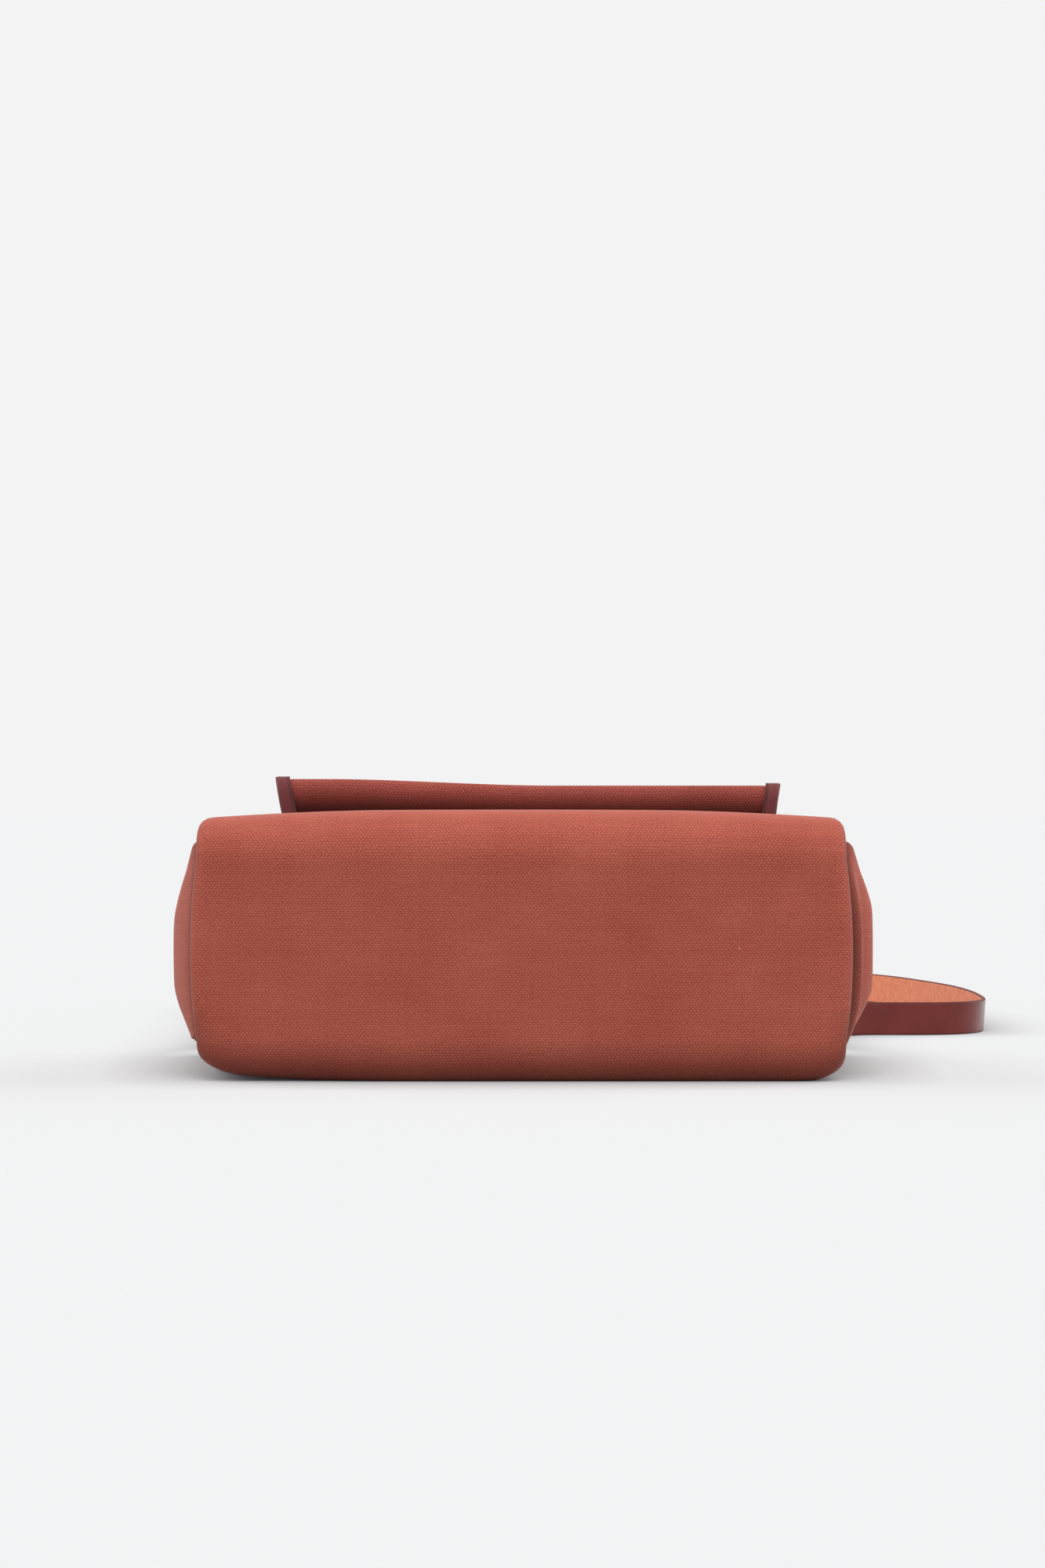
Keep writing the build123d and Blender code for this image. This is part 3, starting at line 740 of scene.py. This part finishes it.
# ------------------------------------------------------------------ flap bindings
# Twill tape folded over each side of the flap and stitched down. Its ends are cut off level with
# the fold, so the two layers of tape show there with the canvas between them.
flap_tape = tape_material("flap_twill", crown=(150, 74, 76), hollow=(78, 32, 34), smooth_until=1.5)
binding_w = np.linspace(1.0, flap_length + 0.9, 130)
binding_reach = 6.8
stitch_line = 1.5
across, through = folded_tape(binding_reach, 1.8, 0.42)
for side, word in ((-1, "left"), (1, "right")):
    W, A = np.meshgrid(binding_w, across, indexing="ij")
    T = np.broadcast_to(through, W.shape)
    shrink = np.interp(W, [0, spine_length, spine_length + 15], [0.75, 0.8, 1.0])
    cut = np.clip((W - (flap_length - 0.5)) / 1.4, 0, 1)
    shrink = shrink * (1 - 0.45 * cut ** 2)
    groove = 1 - 0.18 * np.exp(-(((A - stitch_line) / 0.5) ** 2))
    wander = 0.25 * np.sin(W / 5.1 + side) * A / binding_reach
    x = side * (flap_side(W, side) + A - 0.2 + wander)
    loops = on_flap(x, W, T * shrink * groove)
    uv = np.stack([A, W], axis=-1)
    binding = loft(f"flap_binding_cloth_{word}", loops, uv, [flap_tape])
    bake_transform(binding)
    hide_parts(f"spine_binding_{word}", f"flap_binding_{word}")

# ------------------------------------------------------------------ back fold
# The back panel's canvas runs on past the mouth and turns up into the flap. It bridges the crease
# that the flap swings about.
fold_half = flap_half - 1.0
fold_start = case_high[1] - 9.0
turn = np.linspace(0, 1, 40)
fold_path = np.stack([
    fold_start + (spine_axis[1] + 2.2 - fold_start) * np.sin(turn * np.pi / 2),
    1.0 + 11.0 * (1 - np.cos(turn * np.pi / 2)) ** 1.6,
], axis=-1)
fold_x = np.linspace(-fold_half, fold_half, 60)
X, _ = np.meshgrid(fold_x, turn, indexing="ij")
fold_outer = np.concatenate([
    (X + flap_middle)[..., None],
    np.broadcast_to(fold_path, X.shape + (2,)),
], axis=-1)
fold_uv = np.stack([X, np.broadcast_to(turn * 18.0, X.shape)], axis=-1)
fold_gauge = 0.9
back_fold = loft(
    "back_fold_cloth",
    two_faced(fold_outer, fold_gauge),
    there_and_back(fold_uv),
    [canvas],
)
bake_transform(back_fold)

# ------------------------------------------------------------------ strap
# Two lengths of vegetable-tanned leather, dyed and finished on the grain side, raw on the flesh
# side and painted along the edges. They stand on edge on the table, as the case was put down.


def grain_material():
    """Smooth dark red-brown grain: a fine pebble under a satin finish."""
    shade = Shade("strap_grain", Roughness=0.42, Coat_Weight=0.6, Coat_Roughness=0.22,
                  Specular_IOR_Level=0.1)
    cloth, _, _ = shade.cloth_uv()
    pebble = {"Vector": cloth, "Scale": 2.6}
    pores = shade.node("ShaderNodeTexVoronoi", {"feature": "SMOOTH_F1"}, pebble)
    cloud = shade.noise(cloth, 0.06, 3.0)
    fine = shade.noise(cloth, 4.0, 3.0)
    tone = (cloud - 0.5) * 0.9 + (fine - 0.5) * 0.4 + 0.5
    shade.feed("Base Color", shade.mix(tone.within(0.1, 0.9), dye(98, 28, 23), dye(120, 40, 34)))
    shade.feed("Roughness", (fine - 0.5) * 0.25 + 0.36)
    shade.bump(pores * 0.6 + fine * 0.4, 0.05 * MM, 0.5)
    return shade.material


def flesh_material():
    """Raw flesh side: soft orange nap with small darker flecks."""
    shade = Shade("strap_flesh", Roughness=0.95, Sheen_Weight=0.1, Sheen_Roughness=0.5,
                  Specular_IOR_Level=0.15)
    cloth, _, _ = shade.cloth_uv()
    nap = shade.noise(cloth, 1.2, 5.0)
    cloud = shade.noise(cloth, 0.25, 2.0)
    tone = (nap - 0.5) * 1.2 + (cloud - 0.5) * 0.8 + 0.5
    colour = shade.mix(tone.within(0.0, 1.0), dye(216, 112, 78), dye(246, 158, 120))
    shade.feed("Base Color", colour)
    shade.bump(nap, 0.12 * MM, 0.6)
    return shade.material


def edge_material():
    """Edge paint: dark and a little glossy."""
    shade = Shade("strap_edge", Roughness=0.6, Specular_IOR_Level=0.2)
    cloth, _, _ = shade.cloth_uv()
    uneven = shade.noise(cloth, 0.5, 3.0)
    shade.feed("Base Color", shade.mix(uneven, dye(84, 40, 36), dye(106, 54, 48)))
    shade.bump(uneven, 0.08 * MM, 0.4)
    return shade.material


strap_materials = [grain_material(), flesh_material(), edge_material()]
strap_width = 16.0
strap_gauge = 2.0
edge_round = 0.55
short_low, short_high = (np.array(corner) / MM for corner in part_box("strap_short"))
long_high = np.array(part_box("strap_long")[1]) / MM
strap_play = 0.2
strap_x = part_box("strap_patch_right")[1][0] / MM + strap_play + strap_gauge / 2
join_y = short_high[1] - strap_gauge / 2
drop_run = 75.0
settle_run = 12
landing_y = pivot[1] + drop_run


def smooth_route(points, count):
    """A uniform cubic B-spline through a route's control points, with its ends clamped."""
    points = np.array(points, dtype=float)
    ends = [2 * points[0] - points[1], 2 * points[-1] - points[-2]]
    control = np.vstack([ends[0], points, ends[1]])
    t = np.linspace(0, len(points) - 1 - 1e-9, count)
    k = t.astype(int)
    f = (t - k)[:, None]
    g = 1 - f
    weights = [g ** 3, 3 * f ** 3 - 6 * f ** 2 + 4, 3 * g ** 3 - 6 * g ** 2 + 4, f ** 3]
    return sum(w * control[k + i] for i, w in enumerate(weights)) / 6


def strap_loops(route, lean):
    """A strap carried along a route: a rounded flat section that stands on edge.

    The section narrows to a half round at both ends. lean gives lengths along the strap and how
    far, in radians, it tips over there.
    """
    steps = np.linalg.norm(np.diff(route, axis=0), axis=1)
    length = np.concatenate([[0], np.cumsum(steps)])
    total = length[-1]
    half = strap_width / 2
    tip = half * (1 - np.cos(np.linspace(0, np.pi / 2, 12)))[:-1]
    even = np.concatenate([tip, np.linspace(half, total - half, 520), total - tip[::-1]])
    path = np.stack([np.interp(even, length, route[:, k]) for k in range(3)], axis=-1)
    tangent = np.gradient(path, axis=0)
    tangent /= np.linalg.norm(tangent, axis=1, keepdims=True)
    sideways = np.cross(tangent, [0.0, 0.0, 1.0])
    sideways /= np.linalg.norm(sideways, axis=1, keepdims=True)
    upright = np.cross(sideways, tangent)
    tilt = np.interp(even, lean[0], lean[1])[:, None]
    upright = upright * np.cos(tilt) + sideways * np.sin(tilt)
    sideways = np.cross(tangent, upright)
    near = np.clip(half - np.minimum(even, total - even), 0, None)
    reach = np.sqrt(np.clip(half ** 2 - near ** 2, 0.04, None))
    corner = np.linspace(0, np.pi / 2, 5)
    edge_up = 1 - edge_round / half * (1 - np.sin(corner))
    edge_out = edge_round * np.cos(corner)
    ups = np.concatenate([-edge_up[::-1], np.linspace(-0.86, 0.86, 9), edge_up])
    thick = np.concatenate([edge_out[::-1], np.full(9, edge_round), edge_out])
    thick = strap_gauge / 2 - edge_round + thick
    ups = np.concatenate([ups, ups[::-1]])
    thick = np.concatenate([thick, -thick[::-1]])
    height = ups[None] * reach[:, None]
    loops = path[:, None] + upright[:, None] * height[..., None]
    loops = loops + sideways[:, None] * thick[None, :, None]
    uv = np.stack([np.broadcast_to(even[:, None], height.shape), height], axis=-1)
    return loops, uv


def drop_in(side):
    """The strap from its round end, over the post, down to the table behind the case.

    Its middle line falls in an S curve from the post's height to half the strap's width.
    """
    half = strap_width / 2
    fall = np.arctan2(pivot[2] - half, drop_run)
    start = pivot[1] - half * np.cos(fall)
    rise = pivot[2] + half * np.sin(fall)
    y = np.linspace(start, landing_y + settle_run, 26)
    t = (y - start) / (landing_y - start)
    above = (rise - half) * (1 - smooth(t * 0.93))
    above = above * np.clip((landing_y + settle_run - y) / 10, 0, 1)
    return np.stack([np.full_like(y, side * strap_x), y, half + above], axis=-1)


def lying(points):
    """A route on the table, from points in plan."""
    plan = smooth_route(points, 700)
    return np.column_stack([plan, np.full(len(plan), strap_width / 2)])


near_run = 219.5
short_plan = lying([
    (strap_x, landing_y + 12.5), (strap_x, 172.0), (strap_x + 0.5, 192.0), (156.0, 213.0),
    (171.0, near_run + 2.0), (189.0, near_run), (207.0, near_run + 1.0), (222.5, 230.0),
    (230.5, 250.0), (232.0, 280.0), (233.0, 315.0), (231.5, 350.0), (228.5, 383.0), (222.5, 414.0),
    (213.5, 455.0), (203.0, 493.0), (184.0, 528.0), (150.0, 555.0), (108.0, join_y + 0.2),
    (60.0, join_y), (10.0, join_y), (short_low[0], join_y),
])
long_y = join_y + strap_gauge + 0.05
long_plan = lying([
    (-strap_x, landing_y + 12.5), (-strap_x, 190.0), (-strap_x, 240.0), (-strap_x, 300.0),
    (-strap_x - 1.0, 350.0), (-157.0, 400.0), (-155.0, 445.0), (-143.0, 490.0), (-122.0, 530.0),
    (-90.0, 557.0), (-50.0, long_y), (0.0, long_y), (30.0, long_y), (long_high[0], long_y),
])
bend_lean = ([0, 190, 235, 300], [0, 0, 0.085, 0])
band_columns = [4, 10, 9, 10, 5]  # edge, outer side, edge, inner side, edge
for name, side, plan, lean, bands in (
    ("short", 1, short_plan, bend_lean, [2, 0, 2, 1, 2]),
    ("long", -1, long_plan, ([0], [0]), [2, 1, 2, 0, 2]),
):
    loops, uv = strap_loops(np.vstack([drop_in(side), plan[2:]]), lean)
    faces_of = np.repeat(bands, band_columns)
    strap = loft(f"strap_leather_{name}", loops, uv, strap_materials, faces_of=faces_of)
    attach(strap, "strap")
    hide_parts(f"strap_{name}")

# ------------------------------------------------------------------ patches, posts and press stud
# Turned brass posts and press stud, polished and then handled dull, and leather rounds under them.


def brass_material():
    """Satin brass with fine turning marks and a few dull patches."""
    shade = Shade("worn_brass", Metallic=1.0)
    where = shade.node("ShaderNodeTexCoord", None, None, 3)
    marks = shade.noise(where, 2600.0, 2.0)
    dull = shade.noise(where, 160.0, 3.0)
    shade.feed("Base Color", shade.mix(dull, dye(196, 160, 96), dye(222, 190, 128)))
    shade.feed("Roughness", marks * 0.12 + dull * 0.22 + 0.14)
    shade.bump(marks, 0.02 * MM, 0.3)
    return shade.material


def patch_material():
    """The strap's leather on a flat round, read in the object's own space."""
    shade = Shade("patch_leather", Roughness=0.45, Specular_IOR_Level=0.5)
    where = shade.node("ShaderNodeTexCoord", None, None, 3)
    fine = shade.noise(where, 3600.0, 3.0)
    cloud = shade.noise(where, 90.0, 3.0)
    shade.feed("Base Color", shade.mix(cloud, dye(96, 38, 34), dye(122, 52, 46)))
    shade.feed("Roughness", fine * 0.25 + 0.35)
    shade.bump(fine, 0.05 * MM, 0.5)
    return shade.material


brass = brass_material()
patch_leather = patch_material()
for material, fittings in (
    (brass, ("strap_post_left", "strap_post_right", "post_washer_left", "post_washer_right",
             "strap_stud_left", "strap_stud_right", "snap_socket", "snap_washer", "snap_stud",
             "snap_cap")),
    (patch_leather, ("strap_patch_left", "strap_patch_right")),
):
    for fitting in fittings:
        part = frame["nodes"][fitting]
        part.data.materials.clear()
        part.data.materials.append(material)

# ------------------------------------------------------------------ table and light
# A pale table that runs out of sight, under an even room with a wide soft key from above and a
# soft light from either side. The table glows a little, less where something stands close on it,
# which paints a contact shadow.
pale = dye(243, 243, 243)
view_rays = ("Is Camera Ray", "Is Glossy Ray", "Is Transmission Ray")
floor_mesh = bpy.data.meshes.new("floor")
far = 14.0
floor_corners = [(-far, -far, 0), (far, -far, 0), (far, far, 0), (-far, far, 0)]
floor_mesh.from_pydata(floor_corners, [], [(0, 1, 2, 3)])
floor = bpy.data.objects.new("floor", floor_mesh)
floor.location.z = -0.0002
bpy.context.scene.collection.objects.link(floor)
floor_shade = Shade("pale_table", Roughness=0.95, Specular_IOR_Level=0.0)
rays = [floor_shade.node("ShaderNodeLightPath", output=kind) for kind in view_rays]
seen_floor = rays[0].math("MAXIMUM", rays[1]).math("MAXIMUM", rays[2])
lighting_grey = (0.27, 0.27, 0.27, 1.0)
seen_grey = (0.330, 0.333, 0.338, 1.0)
floor_shade.feed("Base Color", floor_shade.mix(seen_floor, lighting_grey, seen_grey))
# Painted contact shadow: the glow falls to a dark grey where ambient occlusion finds something
# within a few centimetres.
openness = floor_shade.node("ShaderNodeAmbientOcclusion", {"samples": 8}, {"Distance": 0.045}, 1)
shaded_glow = (0.02, 0.02, 0.024, 1.0)
open_glow = (0.443, 0.443, 0.443, 1.0)
no_glow = (0.0, 0.0, 0.0, 1.0)
glow = floor_shade.mix(openness, shaded_glow, open_glow)
floor_shade.feed("Emission Color", floor_shade.mix(seen_floor, no_glow, glow))
floor_shade.surface.inputs["Emission Strength"].default_value = 1.0
floor_mesh.materials.append(floor_shade.material)

scene = bpy.context.scene
scene.view_settings.view_transform = "Standard"
world = bpy.data.worlds.new("room")
world.use_nodes = True
scene.world = world
tree = world.node_tree
background = tree.nodes["Background"]
background.inputs["Strength"].default_value = 0.20
background.inputs["Color"].default_value = (1.0, 1.0, 1.0, 1.0)
seen = tree.nodes.new("ShaderNodeBackground")
seen.inputs["Color"].default_value = pale
light_path = tree.nodes.new("ShaderNodeLightPath")
any_view = light_path.outputs[view_rays[0]]
for kind in view_rays[1:]:
    larger = tree.nodes.new("ShaderNodeMath")
    larger.operation = "MAXIMUM"
    tree.links.new(any_view, larger.inputs[0])
    tree.links.new(light_path.outputs[kind], larger.inputs[1])
    any_view = larger.outputs[0]
swap = tree.nodes.new("ShaderNodeMixShader")
tree.links.new(any_view, swap.inputs[0])
tree.links.new(background.outputs[0], swap.inputs[1])
tree.links.new(seen.outputs[0], swap.inputs[2])
tree.links.new(swap.outputs[0], tree.nodes["World Output"].inputs["Surface"])

for name, strength, spread, turn_x, turn_z in (
    ("key", 2.6, 50.0, 42.0, 0.0),
    ("left", 1.6, 50.0, 60.0, -106.0),
    ("right", 1.8, 50.0, 60.0, 106.0),
):
    lamp = bpy.data.lights.new(name, "SUN")
    lamp.energy = strength
    lamp.angle = np.radians(spread)
    light = bpy.data.objects.new(name, lamp)
    light.rotation_euler = (np.radians(turn_x), 0.0, np.radians(turn_z))
    scene.collection.objects.link(light)
